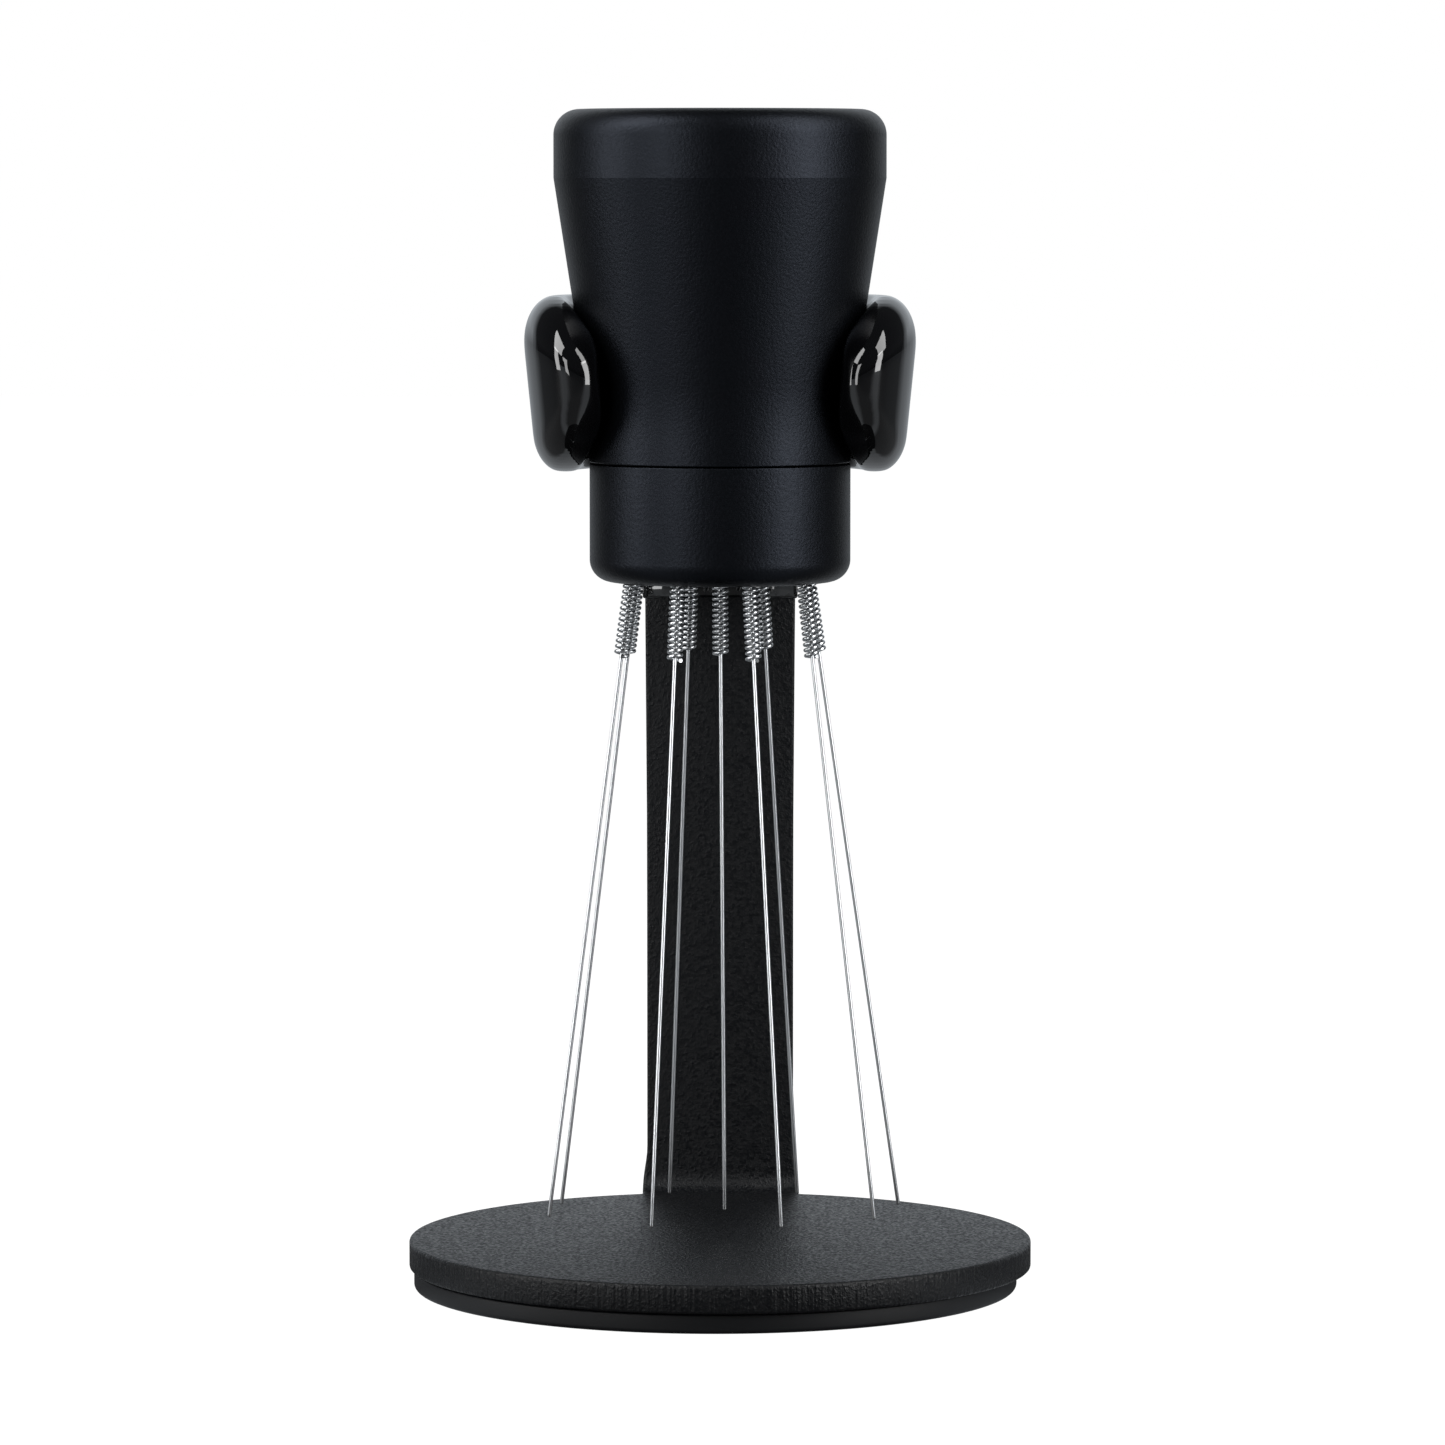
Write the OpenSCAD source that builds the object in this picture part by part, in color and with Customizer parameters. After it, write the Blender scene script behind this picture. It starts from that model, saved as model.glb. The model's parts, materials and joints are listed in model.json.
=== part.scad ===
// Needle distribution tool for ground coffee, hanging in its own stand.
// The tool is a turned grip screwed onto a collar that carries nine springy wire needles.
// The stand is one steel plate, a round base with a tongue bent up behind it, and a moulded
// clip screwed to the tongue. The grip hangs in the clip by its taper.
// Origin: on the surface that the stand rests on, under the tool's axis. +Z is up and -Y is
// the front. Lengths are in millimetres, and azimuths are in degrees from the front, to +X.

/* [Base and upright] */
// Diameter of the round steel base
base_d = 66; // [62:0.5:76]
// Thickness of the steel plate
plate_t = 3; // [2:0.5:4]
// Diameter of the rubber foot pad
pad_d = 64; // [58:0.5:66]
// Thickness of the rubber foot pad
pad_t = 2; // [1:0.5:4]
// Thickness of the adhesive film between the pad and the plate
film_t = 0.2; // [0.1:0.1:0.5]
// How far the pad is glued off centre, to -X
pad_shift = 0.5; // [0:0.1:1]
// Distance from the tool's axis to the front of the upright
upright_y = 34.5; // [34.5:0.5:40]
// Height of the top of the upright
upright_top = 104; // [100:1:110]
// Width of the upright at its top
upright_w = 16.7; // [14:0.1:20]
// How much narrower the upright is at its waist
waist = 0.5; // [0:0.1:1]
// How far the upright flares out on each side at its foot
flare = 0.6; // [0.2:0.1:1.5]
// Inside radius of the bend
bend_r = 2; // [1.5:0.5:2]

/* [Clip] */
// Height of the underside of the clip's arms
clip_z = 86.5; // [84:0.5:88]
// Height of the arms
clip_h = 18.6; // [14:0.2:20]
// Thickness of the arms
arm_t = 5.2; // [4:0.1:6]
// Diameter of the rounded ends of the arms
arm_end_d = 5.8; // [5.6:0.1:7]
// Azimuth of the middle of each arm's end
arm_az = 60; // [55:1:75]
// Gap between the arms and the grip where they are nearest
clip_gap = 0.4; // [0.3:0.1:0.8]
// Height of the underside of the block that joins the arms to the upright
block_z = 72.3; // [70:0.5:80]
// Radius of the hollow in the block's face, round the collar
block_hollow_r = 14.9; // [14.2:0.1:15.2]

/* [Grip and collar] */
// Diameter of the grip at its top
grip_d = 35; // [33:0.5:38]
// Diameter of the grip's neck and of the collar
neck_d = 27.5; // [27:0.1:27.5]
// Height of the top of the grip
grip_top = 124.6; // [120:0.2:128]
// Height of the straight band at the top of the grip
band_h = 7.2; // [4:0.2:9]
// Taper of the grip, in degrees from upright
taper = 8.8; // [8.8:0.1:10]
// Radius that blends the taper into the neck
neck_blend = 40; // [20:5:50]
// Rounding of the grip's top edge
top_round = 2.7; // [1:0.1:3.5]
// Height of the joint between the grip and the collar
seam_z = 87.5; // [87:0.1:88]
// Width of the joint between the grip and the collar
seam_gap = 0.15; // [0.1:0.05:0.3]
// Height of the underside of the collar
collar_z = 75; // [74:0.5:76]
// Rounding of the collar's lower edge
collar_round = 2.3; // [1:0.1:2.4]
// Diameter of the collar's screw thread
thread_d = 20; // [18:0.5:20]
// Length of the collar's screw thread
thread_h = 8; // [7:0.5:10]

/* [Needles] */
// Diameter of the needle wire
wire_d = 0.4; // [0.3:0.05:0.5]
// Outside diameter of the coil at the top of each needle
coil_d = 1.7; // [1.4:0.1:1.8]
// Length of coil that shows below the collar
coil_drop = 8; // [4:0.5:12]
// Radius of the ring of eight sockets
ring_r = 9.85; // [9:0.05:9.85]
// Azimuth of the first socket
ring_az = 18.5; // [0:0.5:45]
// Height of the needle tips above the base
tip_gap = 3; // [2:0.5:10]
// How much the front tips are above the middle one, and the back tips below it
tip_tilt = 0.4; // [0:0.1:0.6]

/* [Hidden] */
$fn = 96;
eps = 0.01;

// Heights that follow from the stack of film, pad and plate.
plate_z = pad_t + film_t;
base_z = plate_z + plate_t;

// The upright: its waist is at this height, and its flare ends at this one.
waist_z = 45;
flare_z = base_z + 4.5;

// The clip's arms lean outwards with the taper. Radii are at the arms' lower and upper edges.
clip_top = clip_z + clip_h;
arm_in_low = neck_d / 2 + clip_gap;
arm_in_high = taper_r(clip_top) + clip_gap;
arm_lean = atan2(arm_in_high - arm_in_low, clip_h);
arm_round_low = 1.8;
arm_round_high = 3.6;
arm_end_low = 2;
arm_end_high = 2.6;
// The round ends stand this far out from the middle of the arms' thickness.
arm_end_out = 0.15;

// Two countersunk M3 screws hold the clip from behind.
screw_r = 1.45;
screw_len = 12;
screw_head_r = 2.9;
screw_z = [80, 98];
hex_r = 1.15;
hex_depth = 1.2;
clip_hole_r = 1.5;
plate_hole_r = 1.6;

// The grip's socket takes the collar's thread, both drawn as plain cylinders.
thread_fit = 0.1;
socket_h = thread_h + 1;
collar_top = seam_z - seam_gap / 2;
grip_z = seam_z + seam_gap / 2;
seam_chamfer = 0.2;
o_ring_r = 0.5;
o_ring_z = grip_z + 2;

// The collar's seat holds the needle plate, with the silicone disc above it.
seat_r = 11.2;
seat_fit = 0.03;
plate_recess = 0.4;
needle_plate_t = 4;
needle_grip_t = 3;
needle_plate_z = collar_z + plate_recess;
needle_grip_z = needle_plate_z + needle_plate_t;
seat_top = needle_grip_z + needle_grip_t + 0.1;

// Each needle's coil goes this far up into the plate and the silicone disc. Its hole leaves
// room for the needle to flex by 2 degrees about the middle of that length.
coil_in = 6.2;
hole_r = coil_d / 2 + 0.2;
tip_z = base_z + tip_gap;

// Every needle is set by hand, so each leans by its own angle, and not quite away from the
// axis: lean is from upright, and sway is added to the socket's azimuth.
lean = [5.5, 7, 8.4, 5.8, 5, 7, 7.7, 5.5];
sway = [12, 1, -7.5, -9, 5, 18.5, -3, 1];
middle_lean = 0.4;
middle_az = 90;

black = [0.07, 0.07, 0.075];
rubber = [0.05, 0.05, 0.05];
film = [0.75, 0.75, 0.7];
gloss = [0.02, 0.02, 0.022];
silicone = [0.5, 0.5, 0.52];
steel = [0.78, 0.79, 0.8];

// Radius of the grip's taper at height z, before it blends into the neck.
function taper_r(z) = grip_d / 2 - (grip_top - band_h - z) * tan(taper);

// Azimuth, lean and direction of needle k: 0 to 7 are the ring, and 8 is the middle one.
function socket_az(k) = ring_az + 45 * k;
function needle_lean(k) = k < 8 ? lean[k] : middle_lean;
function needle_az(k) = k < 8 ? socket_az(k) + sway[k] : middle_az;
function socket_at(k) = (k < 8 ? ring_r : 0) * [sin(socket_az(k)), -cos(socket_az(k)), 0]
                        + [0, 0, collar_z];
function tip_height(k) = tip_z + (k < 8 ? tip_tilt * cos(socket_az(k)) : 0);

// ---------- stand ----------

// Side view of the tongue: flat, bent up and upright, with Y across and Z up.
module tongue_side() {
  bend_y = upright_y - bend_r;
  bend_z = base_z + bend_r;
  translate([base_d / 4, plate_z])
    square([bend_y - base_d / 4 + eps, plate_t]);
  translate([upright_y, bend_z - eps])
    square([plate_t, upright_top - bend_z + eps]);
  translate([bend_y, bend_z])
    intersection() {
      difference() {
        circle(bend_r + plate_t);
        circle(bend_r);
      }
      translate([0, -bend_r - plate_t])
        square(bend_r + plate_t);
    }
}

// Front view of the tongue: flared at the foot and a little waisted.
module tongue_front() {
  top_x = upright_w / 2;
  waist_x = top_x - waist / 2;
  foot_x = waist_x + flare;
  corner = 2;
  polygon([
    [-foot_x, 0], [foot_x, 0], [foot_x, base_z], [waist_x, flare_z], [waist_x, waist_z],
    [top_x, upright_top - corner], [top_x - corner, upright_top],
    [corner - top_x, upright_top], [-top_x, upright_top - corner],
    [-waist_x, waist_z], [-waist_x, flare_z], [-foot_x, base_z],
  ]);
}

module stand_plate() {
  color(black)
    difference() {
      union() {
        translate([0, 0, plate_z])
          cylinder(d = base_d, h = plate_t);
        intersection() {
          rotate([90, 0, 90])
            linear_extrude(2 * upright_w, center = true)
              tongue_side();
          translate([0, upright_y + plate_t + 1, 0])
            rotate([90, 0, 0])
              linear_extrude(upright_y)
                tongue_front();
        }
      }
      for (z = screw_z) {
        screw_place(z) {
          cylinder(r = plate_hole_r, h = 2 * plate_t + 2, center = true);
          screw_cone(0.1);
        }
      }
    }
}

module foot_pad() {
  chamfer = 0.3;
  color(rubber)
    translate([-pad_shift, 0, 0])
      rotate_extrude()
        polygon([
          [0, 0], [pad_d / 2 - chamfer, 0], [pad_d / 2, chamfer], [pad_d / 2, pad_t], [0, pad_t],
        ]);
}

module pad_adhesive() {
  margin = 2;
  color(film)
    translate([-pad_shift, 0, pad_t])
      cylinder(d = pad_d - 2 * margin, h = film_t);
}

// ---------- clip ----------

// Puts a screw at height z on the upright's back face, its point towards the front.
module screw_place(z) {
  translate([0, upright_y + plate_t, z])
    rotate([90, 0, 0])
      children();
}

// The countersink, wider than the screw's head by the gap.
module screw_cone(gap) {
  depth = screw_head_r - screw_r;
  translate([0, 0, -eps])
    cylinder(r1 = screw_head_r + gap, r2 = screw_r + gap, h = depth);
}

// Points along an arc from angle a0 to a1, about centre c.
function arc(c, r, a0, a1, steps = 5) =
  [for (i = [0:steps]) let (a = a0 + (a1 - a0) * i / steps) c + r * [cos(a), sin(a)]];

// Section through one arm, with its outer edges rounded, the upper one more.
module arm_section() {
  // From the arm's outer corner, at its lower or upper edge, to the centre of the rounding.
  in_low = arm_round_low * (tan(arm_lean) - 1 / cos(arm_lean));
  in_high = arm_round_high * (-tan(arm_lean) - 1 / cos(arm_lean));
  polygon(concat(
    [[arm_in_low, clip_z]],
    arc([arm_in_low + arm_t + in_low, clip_z + arm_round_low], arm_round_low, -90, -arm_lean),
    arc([arm_in_high + arm_t + in_high, clip_top - arm_round_high], arm_round_high,
        -arm_lean, 90, 8),
    [[arm_in_high, clip_top]]
  ));
}

// Round end of an arm, a bar with both of its rims rounded.
module arm_end() {
  r = arm_end_d / 2;
  h = clip_h / cos(arm_lean);
  rotate_extrude()
    polygon(concat(
      [[0, 0]],
      arc([r - arm_end_low, arm_end_low], arm_end_low, -90, 0),
      arc([r - arm_end_high, h - arm_end_high], arm_end_high, 0, 90),
      [[0, h]]
    ));
}

// Side view of the block between the arms and the upright. Its lower part reaches under the
// arms, and its upper part starts inside them.
module block_side() {
  low_y = 8;
  high_y = arm_in_high + 1;
  step_z = clip_z + 0.5;
  top_z = clip_top - 0.5;
  polygon([
    [low_y, block_z], [upright_y, block_z], [upright_y, top_z],
    [high_y, top_z], [high_y, step_z], [low_y, step_z],
  ]);
}

module holder_clip() {
  arm_mid = arm_in_low + arm_t / 2 + arm_end_out;
  // Each arm stops a little short of the middle of its round end, which covers it.
  arm_stop = arm_az + 1.5;
  color(gloss)
    union() {
      rotate([0, 0, arm_stop - 90])
        rotate_extrude(angle = 360 - 2 * arm_stop)
          arm_section();
      for (side = [0, 1]) {
        mirror([side, 0, 0])
          rotate([0, 0, arm_az - 90])
            translate([arm_mid, 0, clip_z])
              rotate([0, arm_lean, 0])
                arm_end();
      }
      difference() {
        rotate([90, 0, 90])
          linear_extrude(upright_w, center = true)
            block_side();
        translate([0, 0, block_z - 1])
          cylinder(r = block_hollow_r, h = clip_z - block_z + 3);
        for (z = screw_z) {
          screw_place(z)
            cylinder(r = clip_hole_r, h = screw_len + 1);
        }
      }
    }
}

module clip_screws() {
  color(steel)
    for (z = screw_z) {
      screw_place(z)
        difference() {
          union() {
            screw_cone(0);
            cylinder(r = screw_r, h = screw_len);
          }
          translate([0, 0, -1])
            cylinder(r = hex_r, h = hex_depth + 1, $fn = 6);
        }
    }
}

// ---------- grip ----------

// Half outline of the grip without its rounded top edge. The neck blends into the taper
// along an arc that is upright at its lower end.
module grip_outline() {
  r = neck_d / 2;
  steps = 6;
  arc_end_r = r + neck_blend * (1 - cos(taper));
  arc_end_z = grip_top - band_h - (grip_d / 2 - arc_end_r) / tan(taper);
  arc_z = arc_end_z - neck_blend * sin(taper);
  blend = [for (i = [0:steps]) let (a = taper * i / steps)
    [r + neck_blend * (1 - cos(a)), arc_z + neck_blend * sin(a)]];
  polygon(concat(
    [[0, grip_z], [r - seam_chamfer, grip_z], [r, grip_z + seam_chamfer]],
    blend,
    [[grip_d / 2, grip_top - band_h], [grip_d / 2, grip_top - top_round],
     [grip_d / 2 - top_round, grip_top], [0, grip_top]]
  ));
}

module handle_body() {
  socket_r = thread_d / 2;
  color(black)
    difference() {
      rotate_extrude() {
        grip_outline();
        translate([grip_d / 2 - top_round, grip_top - top_round])
          circle(top_round);
      }
      translate([0, 0, grip_z - 1])
        cylinder(r = socket_r, h = socket_h + 1);
      translate([0, 0, o_ring_z - 0.6])
        cylinder(r = socket_r + 1, h = 1.2);
    }
}

module thread_o_ring() {
  color(rubber)
    rotate_extrude()
      translate([thread_d / 2 - thread_fit + 0.05 + o_ring_r, o_ring_z])
        circle(o_ring_r, $fn = 32);
}

// ---------- collar and what it holds ----------

module collar() {
  r = neck_d / 2;
  thread_r = thread_d / 2 - thread_fit;
  chamfer = 0.6;
  color(black)
    difference() {
      rotate_extrude() {
        polygon([
          [0, collar_z], [r - collar_round, collar_z], [r, collar_z + collar_round],
          [r, collar_top - seam_chamfer], [r - seam_chamfer, collar_top],
          [thread_r, collar_top], [thread_r, collar_top + thread_h - chamfer],
          [thread_r - chamfer, collar_top + thread_h], [0, collar_top + thread_h],
        ]);
        translate([r - collar_round, collar_z + collar_round])
          circle(collar_round);
      }
      translate([0, 0, collar_z - 1])
        cylinder(r = seat_r, h = seat_top - collar_z + 1);
    }
}

// Puts its children on needle k's own axis, with the collar's underside at zero.
module on_needle(k) {
  translate(socket_at(k))
    rotate([-needle_lean(k), 0, needle_az(k)])
      children();
}

module needle_plate() {
  color(black)
    difference() {
      translate([0, 0, needle_plate_z])
        cylinder(r = seat_r - seat_fit, h = needle_plate_t);
      for (k = [0:8]) {
        on_needle(k)
          translate([0, 0, -2])
            cylinder(r = hole_r, h = needle_plate_t + 4, $fn = 32);
      }
    }
}

module needle_grip() {
  color(silicone)
    difference() {
      translate([0, 0, needle_grip_z])
        cylinder(r = seat_r - seat_fit, h = needle_grip_t);
      for (k = [0:8]) {
        on_needle(k)
          cylinder(r = hole_r, h = coil_in + 0.3, $fn = 32);
      }
    }
}

// One needle: a fine wire with a blunt tip, under a coil wound from the same wire.
module needle(k) {
  wire_r = wire_d / 2;
  coil_r = coil_d / 2;
  long = (collar_z - tip_height(k)) / cos(needle_lean(k));
  color(steel)
    on_needle(k)
      rotate_extrude($fn = 32)
        polygon([
          [0, -long], [wire_r * 0.6, -long], [wire_r, -long + wire_r * 0.6],
          [wire_r, -coil_drop - wire_d], [coil_r - wire_r, -coil_drop],
          [coil_r, -coil_drop + wire_r], [coil_r, coil_in - wire_r],
          [coil_r - wire_r, coil_in], [0, coil_in],
        ]);
}

module needle_1() { needle(0); }
module needle_2() { needle(1); }
module needle_3() { needle(2); }
module needle_4() { needle(3); }
module needle_5() { needle(4); }
module needle_6() { needle(5); }
module needle_7() { needle(6); }
module needle_8() { needle(7); }
module needle_9() { needle(8); }

stand_plate();
foot_pad();
pad_adhesive();
holder_clip();
clip_screws();
handle_body();
thread_o_ring();
collar();
needle_plate();
needle_grip();
needle_1();
needle_2();
needle_3();
needle_4();
needle_5();
needle_6();
needle_7();
needle_8();
needle_9();
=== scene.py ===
"""Needle distribution tool in its stand: the visible pieces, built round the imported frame.

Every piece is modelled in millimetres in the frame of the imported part: +Z is up, -Y is the
front, and the tool's axis is X = Y = 0. close_piece() turns millimetres into metres.
"""
import json
import math

import bmesh
import bpy
from mathutils import Matrix, Vector


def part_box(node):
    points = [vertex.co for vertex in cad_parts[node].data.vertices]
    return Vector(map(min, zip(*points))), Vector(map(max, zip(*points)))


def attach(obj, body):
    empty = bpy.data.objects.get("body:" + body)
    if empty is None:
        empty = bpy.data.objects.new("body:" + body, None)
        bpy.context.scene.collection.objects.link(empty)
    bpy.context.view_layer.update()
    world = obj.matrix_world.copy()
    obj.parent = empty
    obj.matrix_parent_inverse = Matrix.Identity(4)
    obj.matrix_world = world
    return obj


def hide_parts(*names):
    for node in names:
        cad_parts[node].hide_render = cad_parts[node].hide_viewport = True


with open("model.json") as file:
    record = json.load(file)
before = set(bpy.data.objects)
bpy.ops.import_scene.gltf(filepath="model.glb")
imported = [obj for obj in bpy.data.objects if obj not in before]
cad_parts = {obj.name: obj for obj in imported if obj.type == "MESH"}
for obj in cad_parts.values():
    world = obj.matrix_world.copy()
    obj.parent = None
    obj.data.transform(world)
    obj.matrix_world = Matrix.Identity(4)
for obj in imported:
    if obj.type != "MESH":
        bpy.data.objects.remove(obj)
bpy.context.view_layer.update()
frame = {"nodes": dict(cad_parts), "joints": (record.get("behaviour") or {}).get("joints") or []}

MM = 0.001
SMOOTH_BELOW = math.radians(8)

# Sizes that the boxes of the nodes can't give: lengths in millimetres, TAPER in radians and
# ARM_TIP_AZ in degrees round from the front.
PLATE_T = 3.0
BEND_R = 2.0
FOOT_HALF = 8.6
FOOT_FILLET = 0.8
WAIST_HALF = 8.1
WAIST_Z = 45.0
HEAD_EXTRA = 0.25
FLARE_Z = 10.0
CORNER_R = 2.0
RIM_R = 0.3
SCREW_HEAD_R = 3.0
SCREW_HOLE_R = 1.6
SCREW_SINK = 1.45
TAPER = math.radians(8.8)
BAND_H = 7.2
NECK_R = 13.75
NECK_BLEND = 40.0
TOP_ROUND = 2.7
SEAM_CHAMFER = 0.12
COLLAR_ROUND = 2.3
SEAT_R = 11.2
SEAT_DEPTH = 7.5
SOCKET_R = 10.0
SOCKET_H = 9.0
THREAD_GAP = 0.15
THREAD_DEEP = 0.5
THREAD_PITCH = 1.0
THREAD_TURNS = 4
ARM_H = 18.6
ARM_T = 5.2
ARM_IN_LOW = 14.1
ARM_IN_HIGH = 15.95
ARM_MID_R = 17.7
ARM_TIP_AZ = 49.5
ARM_PADDLE = 13.0
ARM_NOSE = 2.9
ARM_WIDEST = 10.1
BLOCK_HALF = 8.35
BLOCK_FRONT_Y = 9.0
BLOCK_HOLLOW_R = 14.9
SKIN_CELL = 0.32
WIRE_R = 0.2
WIRE_TOP = 2.5
COIL_R = 0.85
COIL_DROP = 8.0
COIL_PITCH = 0.575
COIL_STEPS = 28
COIL_TURNS = 22
NEEDLES = 9
LAMP_AIM = Vector((0, 0, 80))

# The studio. The back is the part of the surroundings that is white in reflections: it starts
# and is full at these shares of +Y. The rest is dark, but for the soft boxes and below them.
BACK_FROM = 0.68
BACK_FULL = 0.80
WORLD_FRONT = 0.05
WORLD_BACK = 0.85
TABLE_FRONT = 0.08
TABLE_BACK = 0.42
TABLE_SIDES = 0.5
TABLE_GAP = 0.1
SIDES_FROM = -0.85
SIDES_FULL = -0.6
SIDES_FADE = -0.35
SIDES_END = -0.1
HORIZON_TOP = 0.13
HORIZON_SHARE = 0.5
COOL_WHITE = (0.88, 0.94, 1.0, 1.0)
WHITE = (1.0, 1.0, 1.0, 1.0)


# ---------- helpers ----------

def node_box(node):
    """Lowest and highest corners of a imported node, in millimetres."""
    low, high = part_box(node)
    return low / MM, high / MM


def arc(centre, radius, start, end, steps):
    """Points along an arc, from the start to the end angle in degrees."""
    angles = [math.radians(start + (end - start) * i / steps) for i in range(steps + 1)]
    return [(centre[0] + radius * math.cos(a), centre[1] + radius * math.sin(a)) for a in angles]


def lathe(bm, outline, steps=192):
    """Spins an outline of (radius, height) points into a closed turned shape."""
    verts = [bm.verts.new((r, 0, z)) for r, z in outline]
    edges = [bm.edges.new(pair) for pair in zip(verts, verts[1:])]
    bmesh.ops.spin(bm, geom=verts + edges, cent=(0, 0, 0), axis=(0, 0, 1),
                   angle=2 * math.pi, steps=steps, use_merge=True)


def close_piece(bm, name, material, body, slot, *nodes, sharp=SMOOTH_BELOW):
    """Makes the finished mesh an object that rides on a body and stands for the nodes."""
    bmesh.ops.remove_doubles(bm, verts=bm.verts, dist=0.002)
    bmesh.ops.dissolve_degenerate(bm, dist=0.0005, edges=bm.edges)
    bmesh.ops.recalc_face_normals(bm, faces=bm.faces)
    bmesh.ops.scale(bm, vec=(MM, MM, MM), verts=bm.verts)
    for face in bm.faces:
        face.smooth = True
    for edge in bm.edges:
        edge.smooth = not edge.is_manifold or edge.calc_face_angle() < sharp
    mesh = bpy.data.meshes.new(name)
    bm.to_mesh(mesh)
    bm.free()
    piece = bpy.data.objects.new(name, mesh)
    bpy.context.scene.collection.objects.link(piece)
    mesh.materials.append(material)
    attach(piece, body)
    if nodes:
        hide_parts(*nodes)
    return piece


def colour(hex_code):
    """An sRGB hex colour as linear red, green, blue and alpha."""
    parts = [int(hex_code[i:i + 2], 16) / 255 for i in (1, 3, 5)]
    return [p / 12.92 if p <= 0.04045 else ((p + 0.055) / 1.055) ** 2.4 for p in parts] + [1.0]


def start_material(name):
    """A new material, its node tree and its Principled shader."""
    material = bpy.data.materials.new(name)
    material.use_nodes = True
    return material, material.node_tree, material.node_tree.nodes["Principled BSDF"]


def add_node(tree, kind, links=(), **settings):
    """Adds a node. A setting named in_Socket or in_0 sets an input, and any other a property.
    links are (output socket, input name or number) pairs."""
    new = tree.nodes.new(kind)
    for key, value in settings.items():
        if key.startswith("in_"):
            socket = key[3:].replace("_", " ")
            new.inputs[int(socket) if socket.isdigit() else socket].default_value = value
        else:
            setattr(new, key, value)
    for output, socket in links:
        tree.links.new(output, new.inputs[socket])
    return new


# ---------- materials ----------

def cell(size_mm):
    """Noise scale, per metre, whose cells are about that size."""
    return 1 / (size_mm * MM)


def grit_bump(tree, shader, size_mm, depth_mm, strength=1.0, detail=2.0):
    """Fine noise in the normal, with cells of a real size and a real depth. Returns the noise."""
    coords = add_node(tree, "ShaderNodeTexCoord")
    noise = add_node(tree, "ShaderNodeTexNoise", [(coords.outputs["Object"], "Vector")],
                     in_Scale=cell(size_mm), in_Detail=detail, in_Roughness=0.55)
    bump = add_node(tree, "ShaderNodeBump", [(noise.outputs["Fac"], "Height")],
                    in_Strength=strength, in_Distance=depth_mm * MM)
    tree.links.new(bump.outputs["Normal"], shader.inputs["Normal"])
    return noise


def anodised_bead_blasted():
    """Aluminium, turned, bead blasted and anodised black: a soft metallic sheen that is broken
    by the dents of the beads, each about a tenth of a millimetre across."""
    material, tree, shader = start_material("anodised_aluminium_bead_blasted")
    shader.inputs["Metallic"].default_value = 1.0
    noise = grit_bump(tree, shader, 0.3, 0.034, 1.0)
    ramp = add_node(tree, "ShaderNodeMapRange", [(noise.outputs["Fac"], "Value")],
                    in_3=0.36, in_4=0.5)
    tree.links.new(ramp.outputs["Result"], shader.inputs["Roughness"])
    shader.inputs["Base Color"].default_value = colour("#1b1d21")
    return material


def powder_coat():
    """Steel under baked powder paint: black, with the fine orange peel of a textured powder,
    in grains of about a third of a millimetre, and cut marks down the plate's edge."""
    material, tree, shader = start_material("powder_coat_textured")
    shader.inputs["Base Color"].default_value = colour("#07080a")
    shader.inputs["IOR"].default_value = 1.5
    shader.inputs["Specular IOR Level"].default_value = 0.16
    coords = add_node(tree, "ShaderNodeTexCoord")
    grain = add_node(tree, "ShaderNodeTexNoise", [(coords.outputs["Object"], "Vector")],
                     in_Scale=cell(0.34), in_Detail=2.0, in_Roughness=0.6)
    # Cut marks: the same all the way down the edge, and only where the face stands upright.
    flatten = add_node(tree, "ShaderNodeMapping", [(coords.outputs["Object"], "Vector")],
                       in_Scale=(1, 1, 0.06))
    marks = add_node(tree, "ShaderNodeTexNoise", [(flatten.outputs["Vector"], "Vector")],
                     in_Scale=cell(0.45), in_Detail=1.0)
    place = add_node(tree, "ShaderNodeSeparateXYZ", [(coords.outputs["Object"], "Vector")])
    on_edge = add_node(tree, "ShaderNodeMapRange", [(place.outputs["Z"], "Value")],
                       in_1=0.0048, in_2=0.0052, in_3=1.6, in_4=0.0)
    marked = add_node(tree, "ShaderNodeMath", [(marks.outputs["Fac"], 0),
                                               (on_edge.outputs["Result"], 1)],
                      operation="MULTIPLY")
    height = add_node(tree, "ShaderNodeMath", [(grain.outputs["Fac"], 0),
                                               (marked.outputs["Value"], 1)], operation="ADD")
    bump = add_node(tree, "ShaderNodeBump", [(height.outputs["Value"], "Height")],
                    in_Strength=1.0, in_Distance=0.12 * MM)
    tree.links.new(bump.outputs["Normal"], shader.inputs["Normal"])
    sheen = add_node(tree, "ShaderNodeMapRange", [(grain.outputs["Fac"], "Value")],
                     in_1=0.38, in_2=0.62, in_3=0.6, in_4=0.3)
    tree.links.new(sheen.outputs["Result"], shader.inputs["Roughness"])
    return material


def gloss_moulding():
    """ABS, moulded in a polished die and lacquered: deep black with mirror reflections."""
    material, tree, shader = start_material("abs_moulded_gloss")
    shader.inputs["Base Color"].default_value = colour("#050506")
    shader.inputs["Roughness"].default_value = 0.03
    shader.inputs["IOR"].default_value = 1.53
    grit_bump(tree, shader, 6.0, 0.004, 0.3, detail=0.0)
    return material


def drawn_wire():
    """Stainless steel, cold drawn through a die: bright, with faint lines from the drawing."""
    material, tree, shader = start_material("stainless_wire_drawn")
    shader.inputs["Base Color"].default_value = colour("#b9bbbd")
    shader.inputs["Metallic"].default_value = 1.0
    shader.inputs["Roughness"].default_value = 0.28
    grit_bump(tree, shader, 0.25, 0.001, 0.2)
    return material


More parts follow.
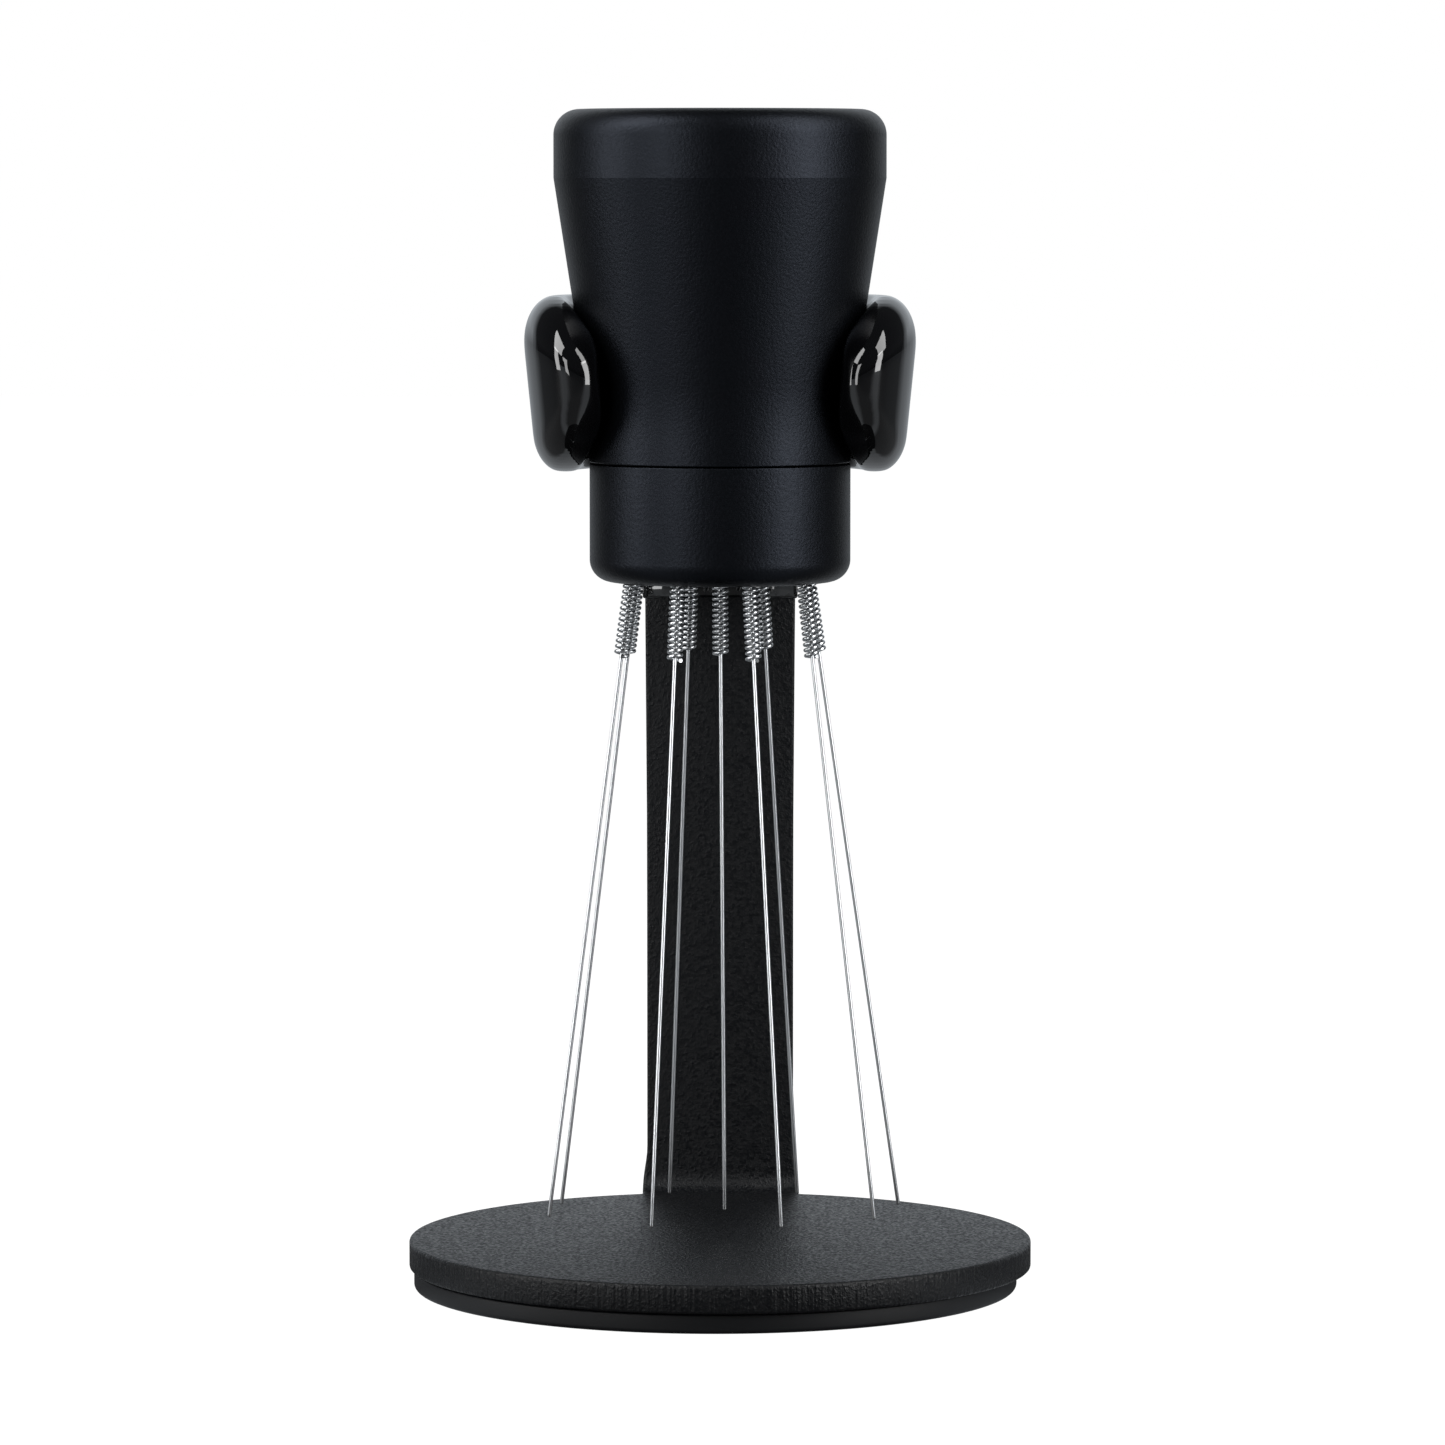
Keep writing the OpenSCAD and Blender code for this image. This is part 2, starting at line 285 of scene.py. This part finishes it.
def moulded_rubber(name, tone, roughness, grain_mm):
    """Rubber, pressed in a mould: matte, with a faint grain from the mould."""
    material, tree, shader = start_material(name)
    shader.inputs["Base Color"].default_value = colour(tone)
    shader.inputs["Roughness"].default_value = roughness
    shader.inputs["Specular IOR Level"].default_value = 0.2
    grit_bump(tree, shader, grain_mm, 0.004, 0.5)
    return material


def adhesive_film():
    """Acrylic adhesive, coated on black film: smooth and a little tacky, so it shines softly."""
    material, tree, shader = start_material("acrylic_adhesive_coated")
    shader.inputs["Base Color"].default_value = colour("#060607")
    shader.inputs["Roughness"].default_value = 0.3
    shader.inputs["IOR"].default_value = 1.47
    grit_bump(tree, shader, 2.0, 0.01, 0.4, detail=0.0)
    return material


def black_oxide_steel():
    """Steel screws, forged, then blackened in a hot salt bath: a dark, oily metallic sheen that
    is patchy where the oxide is thinner."""
    material, tree, shader = start_material("steel_black_oxide_blackened")
    shader.inputs["Metallic"].default_value = 1.0
    shader.inputs["Base Color"].default_value = colour("#3a3b3e")
    noise = grit_bump(tree, shader, 0.4, 0.006, 0.6)
    patches = add_node(tree, "ShaderNodeMapRange", [(noise.outputs["Fac"], "Value")],
                       in_3=0.28, in_4=0.46)
    tree.links.new(patches.outputs["Result"], shader.inputs["Roughness"])
    return material


ANODISED = anodised_bead_blasted()
POWDER = powder_coat()
GLOSS = gloss_moulding()
WIRE = drawn_wire()
PAD_RUBBER = moulded_rubber("nitrile_rubber_moulded", "#0b0c0e", 0.55, 0.5)
RING_RUBBER = moulded_rubber("nitrile_o_ring", "#0a0a0b", 0.4, 0.3)
SILICONE = moulded_rubber("silicone_sheet_cut", "#8d8f92", 0.5, 0.4)
ADHESIVE = adhesive_film()
BLACK_STEEL = black_oxide_steel()


# ---------- stand ----------

def upright_half_width(z):
    """Half the width of the upright at height z: flared at the foot, waisted and wider on top."""
    top_z = node_box("stand_plate")[1].z
    if z <= FLARE_Z:
        base_z = node_box("stand_plate")[0].z + PLATE_T
        t = max(0.0, min(1.0, (FLARE_Z - z) / (FLARE_Z - base_z)))
        return WAIST_HALF + (FOOT_HALF - WAIST_HALF) * t * t * (3 - 2 * t)
    if z <= WAIST_Z:
        return WAIST_HALF
    t = (z - WAIST_Z) / (top_z - WAIST_Z)
    return WAIST_HALF + HEAD_EXTRA * min(1.0, 1.7 * t)


def make_plate():
    """Base and upright: one plate cut out flat, with its tongue bent up."""
    low, high = node_box("stand_plate")
    base_r = (high.x - low.x) / 2
    front_y = high.y - PLATE_T
    bend_y = front_y - BEND_R
    base_z = low.z + PLATE_T
    fillet = FOOT_FILLET
    fillet_y = math.sqrt((base_r + fillet) ** 2 - (FOOT_HALF + fillet) ** 2)
    join = math.degrees(math.atan2(fillet_y, FOOT_HALF + fillet))
    outline = [(-x, y) for x, y in arc((FOOT_HALF + fillet, fillet_y), fillet, 180, 180 + join, 5)]
    outline += arc((0, 0), base_r, 180 - join, 360 + join, 260)[1:-1]
    outline += arc((FOOT_HALF + fillet, fillet_y), fillet, 180 + join, 180, 5)

    bm = bmesh.new()
    verts = [bm.verts.new((x, y, base_z)) for x, y in outline]
    for x in (FOOT_HALF, -FOOT_HALF):
        verts.append(bm.verts.new((x, bend_y, base_z)))
    top = bm.faces.new(verts)
    made = bmesh.ops.extrude_face_region(bm, geom=[top])["geom"]
    bmesh.ops.translate(bm, vec=(0, 0, -PLATE_T),
                        verts=[g for g in made if isinstance(g, bmesh.types.BMVert)])
    bmesh.ops.recalc_face_normals(bm, faces=bm.faces)
    end = [f for f in bm.faces if f.normal.y > 0.99 and f.calc_center_median().y > bend_y - 0.1]
    bend = bmesh.ops.spin(bm, geom=end, cent=(0, bend_y, base_z + BEND_R), axis=(1, 0, 0),
                          angle=math.pi / 2, steps=12)["geom_last"]
    face = [g for g in bend if isinstance(g, bmesh.types.BMFace)]
    heights = [base_z + BEND_R + i for i in (1, 2, 3, 4, 6, 10, 20, 30, 40, 50, 60, 70, 80)]
    for z in heights + [high.z]:
        made = bmesh.ops.extrude_face_region(bm, geom=face)["geom"]
        bmesh.ops.delete(bm, geom=face, context="FACES_ONLY")
        face = [g for g in made if isinstance(g, bmesh.types.BMFace)]
        for v in face[0].verts:
            v.co.z = z
    for v in bm.verts:
        if v.co.y > bend_y + 0.01:
            v.co.x = math.copysign(upright_half_width(v.co.z), v.co.x)
    # The face that the bend started from is now a wall inside the steel.
    inside = [f for f in bm.faces if all(len(e.link_faces) > 2 for e in f.edges)]
    bmesh.ops.delete(bm, geom=inside, context="FACES_ONLY")
    corners = [e for e in bm.edges
               if all(v.co.z > high.z - 0.01 for v in e.verts)
               and abs(e.verts[0].co.y - e.verts[1].co.y) > 1]
    bmesh.ops.bevel(bm, geom=corners, offset=CORNER_R, segments=6, profile=0.5, affect="EDGES",
                    material=-1)
    rims = [e for e in bm.edges if e.is_manifold and e.calc_face_angle() > math.radians(60)]
    bmesh.ops.bevel(bm, geom=rims, offset=RIM_R, segments=3, profile=0.5, affect="EDGES",
                    material=-1, clamp_overlap=True)
    countersink = [(0, -1), (SCREW_HEAD_R + 0.1, -1), (SCREW_HEAD_R, 0.05),
                   (SCREW_HOLE_R, SCREW_SINK), (SCREW_HOLE_R, PLATE_T + 1), (0, PLATE_T + 1)]
    holes = [turned_cutter(countersink, z, high.y) for z in screw_heights()]
    bm = cut(bm, *holes)
    return close_piece(bm, "base_and_upright", POWDER, "stand", "powder_coat", "stand_plate",
                       sharp=math.radians(35))


def make_pad():
    """Foot pad: a rubber disc with a soft lower edge, glued on a little off centre."""
    low, high = node_box("foot_pad")
    radius = (high.x - low.x) / 2
    bm = bmesh.new()
    lathe(bm, [(0, low.z)] + arc((radius - 0.5, low.z + 0.5), 0.5, -90, 0, 6)
          + arc((radius - 0.2, high.z - 0.2), 0.2, 0, 90, 4) + [(0, high.z)])
    bmesh.ops.translate(bm, vec=((high.x + low.x) / 2, 0, 0), verts=bm.verts)
    return close_piece(bm, "rubber_foot_pad", PAD_RUBBER, "stand", "foot_rubber", "foot_pad",
                       sharp=math.radians(30))


# ---------- clip ----------

def rounded(u):
    """Height of a quarter circle at u along it: 0 at 0, and level with 1 from 1 on."""
    return math.sqrt(1 - (1 - min(1.0, max(0.0, u))) ** 2)


def arm_section():
    """Section through an arm as (distance out, height) points, both from 0 to 1. Its upper
    outer edge is rounded most."""
    t, h = ARM_T, ARM_H
    # Each corner: its centre out and up, its two radii, and the angle where it starts.
    corners = ((t - 2.5, 3.7, 2.5, 3.7, -90), (t - 3.9, h - 5.6, 3.9, 5.6, 0),
               (1.2, h - 1.2, 1.2, 1.2, 90), (1.6, 1.6, 1.6, 1.6, 180))
    points = []
    for x, z, wide, tall, start in corners:
        points += [(x + wide * a, z + tall * b)
                   for a, b in arc((0, 0), 1, start, start + 90, 10)]
    loop = []
    for (x0, z0), (x1, z1) in zip(points, points[1:] + points[:1]):
        steps = max(1, round(math.hypot(x1 - x0, z1 - z0) / 0.6))
        loop += [((x0 + (x1 - x0) * i / steps) / t, (z0 + (z1 - z0) * i / steps) / h)
                 for i in range(steps)]
    return loop


def make_arms(bottom):
    """Both arms: a section swept round the grip, its ends drawn out into rounded paddles."""
    bm = bmesh.new()
    layer = bm.verts.layers.float_vector.new("section")
    verts = [bm.verts.new((x, 0, z)) for x, z in arm_section()]
    edges = [bm.edges.new(pair) for pair in zip(verts, verts[1:] + verts[:1])]
    for v in verts:
        v[layer] = (v.co.x, 0, v.co.z)
    half_turn = math.pi - math.radians(ARM_TIP_AZ)
    for v in verts:
        v.co.x += 1
    bmesh.ops.rotate(bm, verts=verts, cent=(0, 0, 0),
                     matrix=Matrix.Rotation(math.radians(ARM_TIP_AZ - 90), 3, "Z"))
    bmesh.ops.spin(bm, geom=verts + edges, cent=(0, 0, 0), axis=(0, 0, 1),
                   angle=2 * half_turn, steps=320)
    for v in bm.verts:
        out, _, up = v[layer]
        azimuth = math.atan2(abs(v.co.x), -v.co.y)
        back = (azimuth - math.radians(ARM_TIP_AZ)) * ARM_MID_R
        if back < ARM_PADDLE:
            back = back * back / ARM_PADDLE
        spread = rounded(back / ARM_PADDLE)
        z_low = bottom + ARM_WIDEST * (1 - spread)
        z_high = bottom + ARM_WIDEST + (ARM_H - ARM_WIDEST) * spread
        z = z_low + up * (z_high - z_low)
        inner = ARM_IN_LOW + (ARM_IN_HIGH - ARM_IN_LOW) * (z - bottom) / ARM_H
        radius = inner + ARM_T / 2 + (out - 0.5) * ARM_T * rounded(back / ARM_NOSE)
        azimuth = math.radians(ARM_TIP_AZ) + back / ARM_MID_R
        side = math.copysign(1, v.co.x)
        v.co = (side * radius * math.sin(azimuth), -radius * math.cos(azimuth), z)
    bmesh.ops.remove_doubles(bm, verts=bm.verts, dist=0.003)
    bmesh.ops.recalc_face_normals(bm, faces=bm.faces)
    return bm


def temporary(bm, name):
    """An object made of a bmesh, for a boolean or a remesh."""
    mesh = bpy.data.meshes.new(name)
    bm.to_mesh(mesh)
    bm.free()
    thing = bpy.data.objects.new(name, mesh)
    bpy.context.scene.collection.objects.link(thing)
    return thing


def apply_all(thing):
    """The mesh of an object with its modifiers applied, as a bmesh. The object goes."""
    bpy.context.view_layer.update()
    mesh = bpy.data.meshes.new_from_object(
        thing.evaluated_get(bpy.context.evaluated_depsgraph_get()))
    bm = bmesh.new()
    bm.from_mesh(mesh)
    bpy.data.objects.remove(thing)
    bpy.data.meshes.remove(mesh)
    return bm


def cut(bm, *cutters):
    """Cuts closed shapes out of another."""
    thing = temporary(bm, "cut_from")
    tools = [temporary(c, "cutter") for c in cutters]
    for tool in tools:
        step = thing.modifiers.new("cut", "BOOLEAN")
        step.operation = "DIFFERENCE"
        step.object = tool
        step.solver = "EXACT"
    bm = apply_all(thing)
    for tool in tools:
        bpy.data.objects.remove(tool)
    return bm


def screw_heights():
    """Heights of the two screws' axes, from the boxes of their halves."""
    mesh = frame["nodes"]["clip_screws"].data
    heights = [v.co.z / MM for v in mesh.vertices]
    middle = (min(heights) + max(heights)) / 2
    low = [z for z in heights if z < middle]
    high = [z for z in heights if z > middle]
    return (min(low) + max(low)) / 2, (min(high) + max(high)) / 2


def turned_cutter(outline, z, back_y):
    """A turned cutter whose axis runs from the upright's back face to the front."""
    bm = bmesh.new()
    lathe(bm, outline, steps=48)
    bmesh.ops.recalc_face_normals(bm, faces=bm.faces)
    bmesh.ops.rotate(bm, verts=bm.verts, cent=(0, 0, 0),
                     matrix=Matrix.Rotation(math.pi / 2, 3, "X"))
    bmesh.ops.translate(bm, verts=bm.verts, vec=(0, back_y, z))
    return bm


def make_clip():
    """Clip: two arms that wrap the grip from behind, on a block that is screwed to the upright."""
    low, high = node_box("holder_clip")
    bottom = high.z - ARM_H
    arms = make_arms(bottom)

    half = BLOCK_HALF
    step_y = ARM_IN_HIGH + 1.0
    top_z = high.z - 0.6
    step_z = bottom + 0.5
    side_view = [(BLOCK_FRONT_Y, low.z), (high.y, low.z), (high.y, top_z),
                 (step_y, top_z), (step_y, step_z), (BLOCK_FRONT_Y, step_z)]
    block = bmesh.new()
    face = block.faces.new([block.verts.new((-half, y, z)) for y, z in side_view])
    made = bmesh.ops.extrude_face_region(block, geom=[face])["geom"]
    bmesh.ops.translate(block, vec=(2 * half, 0, 0),
                        verts=[g for g in made if isinstance(g, bmesh.types.BMVert)])
    bmesh.ops.recalc_face_normals(block, faces=block.faces)
    hollow = bmesh.new()
    depth = bottom - low.z + 10
    bmesh.ops.create_cone(hollow, cap_ends=True, segments=160, radius1=BLOCK_HOLLOW_R,
                          radius2=BLOCK_HOLLOW_R, depth=depth)
    bmesh.ops.translate(hollow, vec=(0, 0, bottom + 3 - depth / 2), verts=hollow.verts)
    block = cut(block, hollow)

    joined = temporary(arms, "arms")
    both = bmesh.new()
    both.from_mesh(joined.data)
    block_mesh = bpy.data.meshes.new("block")
    block.to_mesh(block_mesh)
    block.free()
    both.from_mesh(block_mesh)
    bpy.data.objects.remove(joined)
    thing = temporary(both, "clip_rough")
    remesh = thing.modifiers.new("remesh", "REMESH")
    remesh.mode = "VOXEL"
    remesh.voxel_size = SKIN_CELL
    bm = apply_all(thing)
    for _ in range(8):
        bmesh.ops.smooth_vert(bm, verts=bm.verts, factor=0.5, use_axis_x=True, use_axis_y=True,
                              use_axis_z=True)
    # The back of the block stays flat where it meets the upright.
    for v in bm.verts:
        if v.co.y > high.y - 0.35 and abs(v.co.x) < half - 1.2:
            v.co.y = high.y
    return close_piece(bm, "clip", GLOSS, "stand", "gloss_clip", "holder_clip",
                       sharp=math.radians(60))


# ---------- grip and collar ----------

def make_grip():
    """Grip: a turned taper with a straight band on top and a threaded socket below."""
    low, high = node_box("handle_body")
    top_r = (high.x - low.x) / 2
    neck_r = NECK_R
    band_z = high.z - BAND_H
    blend_r = neck_r + NECK_BLEND * (1 - math.cos(TAPER))
    blend_z = band_z - (top_r - blend_r) / math.tan(TAPER)
    blend_start = blend_z - NECK_BLEND * math.sin(TAPER)
    groove = low.z + 2
    bm = bmesh.new()
    lathe(bm,
          [(0, low.z + SOCKET_H), (SOCKET_R, low.z + SOCKET_H), (SOCKET_R, groove + 0.6),
           (SOCKET_R + 1, groove + 0.6), (SOCKET_R + 1, groove - 0.6), (SOCKET_R, groove - 0.6),
           (SOCKET_R, low.z + 0.3), (SOCKET_R + 0.3, low.z)]
          + arc((neck_r - SEAM_CHAMFER, low.z + SEAM_CHAMFER), SEAM_CHAMFER, -90, 0, 4)
          + arc((neck_r + NECK_BLEND, blend_start), NECK_BLEND, 180,
                180 - math.degrees(TAPER), 10)
          + [(top_r, band_z)]
          + arc((top_r - TOP_ROUND, high.z - TOP_ROUND), TOP_ROUND, 0, 90, 18)
          + [(0, high.z)])
    return close_piece(bm, "grip", ANODISED, "grip", "anodised_body", "handle_body")


def make_collar():
    """Collar: turned to match the grip, with a seat for the needle plate below and a screw
    thread above."""
    low, high = node_box("collar")
    radius = (high.x - low.x) / 2
    shoulder = node_box("handle_body")[0].z - 0.15
    thread_r = SOCKET_R - THREAD_GAP
    plain_top = shoulder + 3
    core_r = thread_r - THREAD_DEEP
    bm = bmesh.new()
    lathe(bm,
          [(0, low.z + SEAT_DEPTH), (SEAT_R, low.z + SEAT_DEPTH), (SEAT_R, low.z + 0.1),
           (SEAT_R + 0.1, low.z)]
          + arc((radius - COLLAR_ROUND, low.z + COLLAR_ROUND), COLLAR_ROUND, -90, 0, 16)
          + arc((radius - SEAM_CHAMFER, shoulder - SEAM_CHAMFER), SEAM_CHAMFER, 0, 90, 4)
          + [(thread_r, shoulder), (thread_r, plain_top), (core_r, plain_top + 0.5),
             (core_r, high.z - 0.4), (core_r - 0.4, high.z), (0, high.z)])
    # The thread: a ridge, wound up the spigot.
    per_turn = 96
    ridge_z = plain_top + 0.2
    root_r = core_r - 0.1
    ridge = [bm.verts.new((r, 0, ridge_z + up))
             for r, up in ((root_r, -0.45), (thread_r, -0.07), (thread_r, 0.07), (root_r, 0.45))]
    face = bm.faces.new(ridge)
    bmesh.ops.spin(bm, geom=[face] + list(face.edges) + ridge, cent=(0, 0, 0), axis=(0, 0, 1),
                   dvec=(0, 0, THREAD_PITCH / per_turn), angle=2 * math.pi * THREAD_TURNS,
                   steps=THREAD_TURNS * per_turn)
    return close_piece(bm, "collar_ring", ANODISED, "carrier", "anodised_body", "collar")


# ---------- needles ----------

def needle_line(number):
    """A point on the needle's axis inside the collar, and the direction down to its tip."""
    joint = next(j for j in frame["joints"] if j["name"] == f"needle_flex_{number}")
    pivot = Vector(joint["pos_m"]) / MM
    node = frame["nodes"][f"needle_{number}"]
    low = node_box(f"needle_{number}")[0]
    near_tip = [v.co / MM for v in node.data.vertices if v.co.z / MM < low.z + 0.3]
    tip = sum(near_tip, Vector()) / len(near_tip)
    return pivot, (tip - pivot).normalized(), tip


def wind_coil():
    """One coil along Z, from its cut lower end at zero up: a single turn, repeated and merged."""
    bm = bmesh.new()
    made = bmesh.ops.create_circle(bm, segments=10, radius=WIRE_R)["verts"]
    edges = list(bm.edges)
    bmesh.ops.rotate(bm, verts=made, cent=(0, 0, 0), matrix=Matrix.Rotation(math.pi / 2, 3, "X"))
    bmesh.ops.translate(bm, verts=made, vec=(WIRE_R - COIL_R, 0, 0))
    bmesh.ops.spin(bm, geom=made + edges, cent=(0, 0, 0), axis=(0, 0, 1),
                   dvec=(0, 0, COIL_PITCH / COIL_STEPS), angle=2 * math.pi, steps=COIL_STEPS)
    turn = list(bm.verts) + list(bm.edges) + list(bm.faces)
    for i in range(1, COIL_TURNS):
        copy = bmesh.ops.duplicate(bm, geom=turn)["geom"]
        bmesh.ops.translate(bm, vec=(0, 0, i * COIL_PITCH),
                            verts=[g for g in copy if isinstance(g, bmesh.types.BMVert)])
    bmesh.ops.remove_doubles(bm, verts=bm.verts, dist=0.004)
    bmesh.ops.holes_fill(bm, edges=[e for e in bm.edges if e.is_boundary], sides=0)
    return bm


def make_needle(number, coil):
    """Needle: a straight bright wire with a coil of the same wire wound round its top."""
    pivot, down, tip = needle_line(number)
    collar_z = node_box("collar")[0].z
    mouth = (pivot.z - collar_z) / -down.z
    length = (tip - pivot).length + WIRE_R
    # Along its own axis the needle points down from zero, which is the middle of its hole.
    bm = coil.copy()
    foot = -mouth - COIL_DROP + WIRE_R
    # The cut ends of the coils don't all point the same way.
    turn = math.radians(25 * math.sin(2.4 * number))
    bmesh.ops.rotate(bm, verts=bm.verts, cent=(0, 0, 0), matrix=Matrix.Rotation(turn, 3, "Z"))
    bmesh.ops.translate(bm, verts=bm.verts, vec=(0, 0, foot))
    top = WIRE_TOP
    lathe(bm, [(0, -length)] + arc((WIRE_R * 0.35, -length + WIRE_R * 0.65), WIRE_R * 0.65, -90, 0, 4)
          + [(WIRE_R, -length * f) for f in (0.9, 0.5, 0.15)] + [(WIRE_R, top), (0, top)], steps=12)
    place = Matrix.Translation(pivot) @ down.to_track_quat("-Z", "Y").to_matrix().to_4x4()
    bmesh.ops.transform(bm, matrix=place, verts=bm.verts)
    return close_piece(bm, f"needle_wire_{number}", WIRE, f"wire_{number}", "needle_steel",
                       f"needle_{number}", sharp=math.radians(60))


# ---------- stage ----------

def make_floor():
    """A plain pale table top, white where it is looked at and dimmer as a light."""
    bm = bmesh.new()
    bmesh.ops.create_grid(bm, x_segments=1, y_segments=1, size=3.0)
    bmesh.ops.translate(bm, verts=bm.verts, vec=(0, 0, -TABLE_GAP * MM))
    mesh = bpy.data.meshes.new("floor")
    bm.to_mesh(mesh)
    bm.free()
    floor = bpy.data.objects.new("floor", mesh)
    bpy.context.scene.collection.objects.link(floor)
    material, tree, shader = start_material("plain_white_table")
    shader.inputs["Base Color"].default_value = (0.07, 0.07, 0.07, 1)
    shader.inputs["Roughness"].default_value = 0.9
    shader.inputs["Specular IOR Level"].default_value = 0.0
    coords = add_node(tree, "ShaderNodeTexCoord")
    flat = add_node(tree, "ShaderNodeVectorMath", [(coords.outputs["Object"], 0)],
                    operation="NORMALIZE")
    split = add_node(tree, "ShaderNodeSeparateXYZ", [(flat.outputs["Vector"], "Vector")])
    sweep = add_node(tree, "ShaderNodeMapRange", [(split.outputs["Y"], "Value")],
                     in_1=BACK_FROM, in_2=BACK_FULL, in_3=TABLE_FRONT, in_4=TABLE_BACK)
    # The table is brighter below the soft boxes, which stand to the left and right of the front.
    rise = add_node(tree, "ShaderNodeMapRange", [(split.outputs["Y"], "Value")],
                    in_1=SIDES_FROM, in_2=SIDES_FULL, in_3=0.0, in_4=TABLE_SIDES)
    fall = add_node(tree, "ShaderNodeMapRange", [(split.outputs["Y"], "Value")],
                    in_1=SIDES_FADE, in_2=SIDES_END, in_3=1.0, in_4=0.0)
    sides = add_node(tree, "ShaderNodeMath", [(rise.outputs["Result"], 0),
                                              (fall.outputs["Result"], 1)], operation="MULTIPLY")
    both = add_node(tree, "ShaderNodeMath", [(sides.outputs["Value"], 0),
                                             (sweep.outputs["Result"], 1)], operation="ADD")
    path = add_node(tree, "ShaderNodeLightPath")
    glow = add_node(tree, "ShaderNodeMath", [(path.outputs["Is Camera Ray"], 0),
                                             (both.outputs["Value"], 1)], operation="MAXIMUM")
    tint = add_node(tree, "ShaderNodeMix", [(path.outputs["Is Camera Ray"], 0)],
                    data_type="RGBA", in_6=COOL_WHITE, in_7=WHITE)
    tree.links.new(tint.outputs[2], shader.inputs["Emission Color"])
    tree.links.new(glow.outputs["Value"], shader.inputs["Emission Strength"])
    mesh.materials.append(material)


def area_light(name, azimuth, distance, height, size, power):
    """A soft box, facing the grip, at an azimuth in degrees to the right of the front."""
    a = math.radians(azimuth)
    place = Vector((distance * math.sin(a), -distance * math.cos(a), height))
    data = bpy.data.lights.new(name, "AREA")
    data.shape = "RECTANGLE"
    data.size = size[0] * MM
    data.size_y = size[1] * MM
    data.energy = power
    lamp = bpy.data.objects.new(name, data)
    lamp.location = place * MM
    lamp.rotation_euler = (LAMP_AIM - place).to_track_quat("-Z", "Y").to_euler()
    bpy.context.scene.collection.objects.link(lamp)


def make_lights():
    """A white backdrop, dark surroundings in front, and soft boxes at the sides and above."""
    world = bpy.data.worlds.new("studio")
    bpy.context.scene.world = world
    world.use_nodes = True
    tree = world.node_tree
    back = tree.nodes["Background"]
    coords = add_node(tree, "ShaderNodeTexCoord")
    split = add_node(tree, "ShaderNodeSeparateXYZ", [(coords.outputs["Generated"], "Vector")])
    shade = add_node(tree, "ShaderNodeMapRange", [(split.outputs["Y"], "Value")],
                     in_1=BACK_FROM, in_2=BACK_FULL, in_3=WORLD_FRONT, in_4=WORLD_BACK)
    # The backdrop fades down to the table's own brightness at the horizon.
    fade = add_node(tree, "ShaderNodeMapRange", [(split.outputs["Z"], "Value")],
                    in_1=0.0, in_2=HORIZON_TOP, in_3=HORIZON_SHARE, in_4=1.0)
    faded = add_node(tree, "ShaderNodeMath", [(shade.outputs["Result"], 0),
                                              (fade.outputs["Result"], 1)], operation="MULTIPLY")
    path = add_node(tree, "ShaderNodeLightPath")
    seen = add_node(tree, "ShaderNodeMath", [(path.outputs["Is Camera Ray"], 0),
                                             (faded.outputs["Value"], 1)], operation="MAXIMUM")
    tree.links.new(seen.outputs["Value"], back.inputs["Strength"])
    tint = add_node(tree, "ShaderNodeMix", [(path.outputs["Is Camera Ray"], 0)],
                    data_type="RGBA", in_6=COOL_WHITE, in_7=WHITE)
    tree.links.new(tint.outputs[2], back.inputs["Color"])
    area_light("box_right", 62, 650, 180, (300, 660), 5.6)
    area_light("box_left_side", -80, 650, 180, (220, 660), 3.4)
    area_light("box_left_front", -38, 700, 160, (200, 600), 2.5)
    area_light("box_top_left", -72, 350, 480, (320, 320), 2.4)
    area_light("box_top_right", 72, 350, 480, (320, 320), 2.0)


def make_camera():
    """A long lens in front, a little above the base, looking slightly down."""
    data = bpy.data.cameras.new("camera")
    data.sensor_width = 36
    data.lens = 175
    data.clip_start = 0.01
    camera = bpy.data.objects.new("camera", data)
    camera.location = Vector((0.26, -740, 117.7)) * MM
    camera.rotation_euler = (math.radians(90 - 4.457), 0, 0)
    bpy.context.scene.collection.objects.link(camera)
    bpy.context.scene.camera = camera


make_camera()
make_lights()
make_floor()
make_plate()
make_pad()
make_clip()
make_grip()
make_collar()
coil = wind_coil()
for number in range(1, NEEDLES + 1):
    make_needle(number, coil)
coil.free()
for node, material, slot in (("pad_adhesive", ADHESIVE, "adhesive_film"),
                             ("clip_screws", BLACK_STEEL, "screw_steel"),
                             ("thread_o_ring", RING_RUBBER, "o_ring_rubber"),
                             ("needle_plate", ANODISED, "anodised_body"),
                             ("needle_grip", SILICONE, "silicone")):
    frame["nodes"][node].data.materials.clear()
    frame["nodes"][node].data.materials.append(material)
bpy.context.scene.view_settings.view_transform = "Standard"
